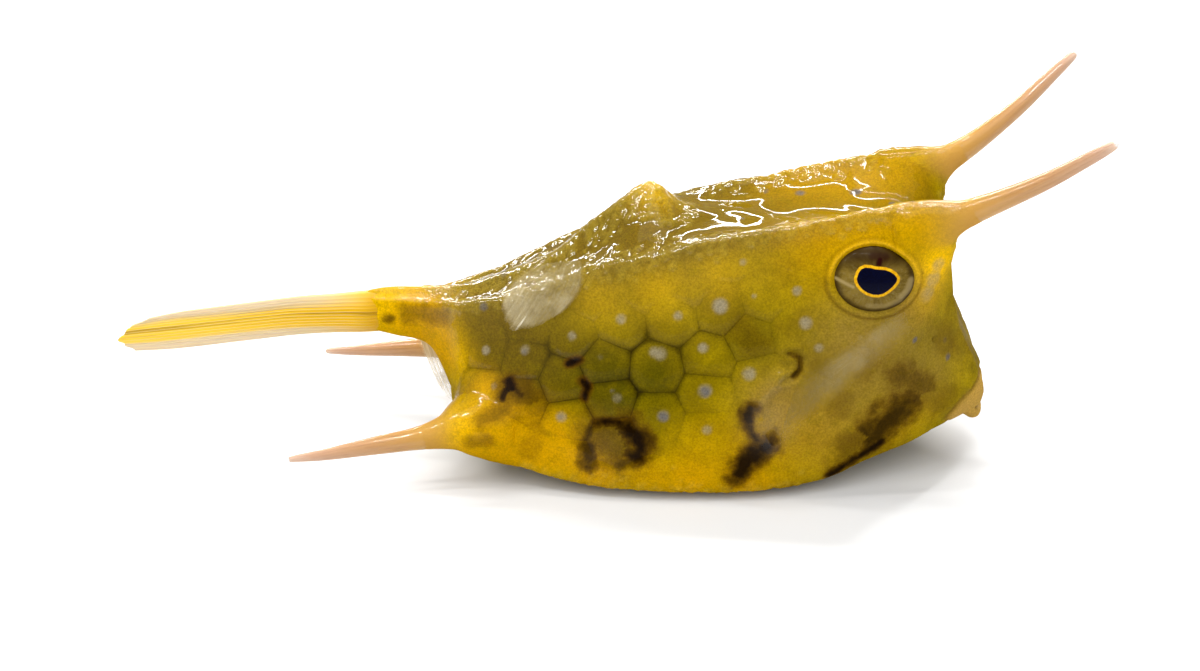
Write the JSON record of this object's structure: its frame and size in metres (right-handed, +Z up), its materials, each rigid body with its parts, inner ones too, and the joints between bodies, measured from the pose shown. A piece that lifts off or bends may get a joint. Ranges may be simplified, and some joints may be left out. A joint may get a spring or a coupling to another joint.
{
  "type": "juvenile longhorn cowfish",
  "caption": "Still life-size model of a juvenile longhorn cowfish: boxy plated body with brow horns, swept belly spines, closed tail fin and folded fins, resting on its belly.",
  "frame": {"origin": "on the floor under the middle of the fish's whole length, from the end of the tail fin to the horn tips", "axes": "+X to the snout and horns, +Y to the fish's left side, +Z up from the floor"},
  "size_m": [0.0947, 0.0256, 0.0364],
  "materials": {
    "wet_hide": "wet, glossy mustard to olive skin over hexagonal plates",
    "pale_horn": "smooth horn, orange at the root and pale pink to white at the tip",
    "lip_flesh": "soft moist skin",
    "fin_membrane": "wet translucent membrane with fine rays",
    "eye_surface": "polished, wet"
  },
  "bodies": {
    "root": {"head": "wet_hide", "trunk": "wet_hide", "tail_stalk": "wet_hide", "brow_horn_right": "pale_horn", "brow_horn_left": "pale_horn", "belly_spine_right": "pale_horn", "belly_spine_left": "pale_horn", "eye_right": "eye_surface", "eye_left": "eye_surface", "lip_upper": "lip_flesh", "lip_lower": "lip_flesh", "tail_fin": "fin_membrane", "dorsal_fin": "fin_membrane", "anal_fin": "fin_membrane", "pectoral_fin_right": "fin_membrane", "pectoral_fin_left": "fin_membrane"}
  },
  "joints": []
}
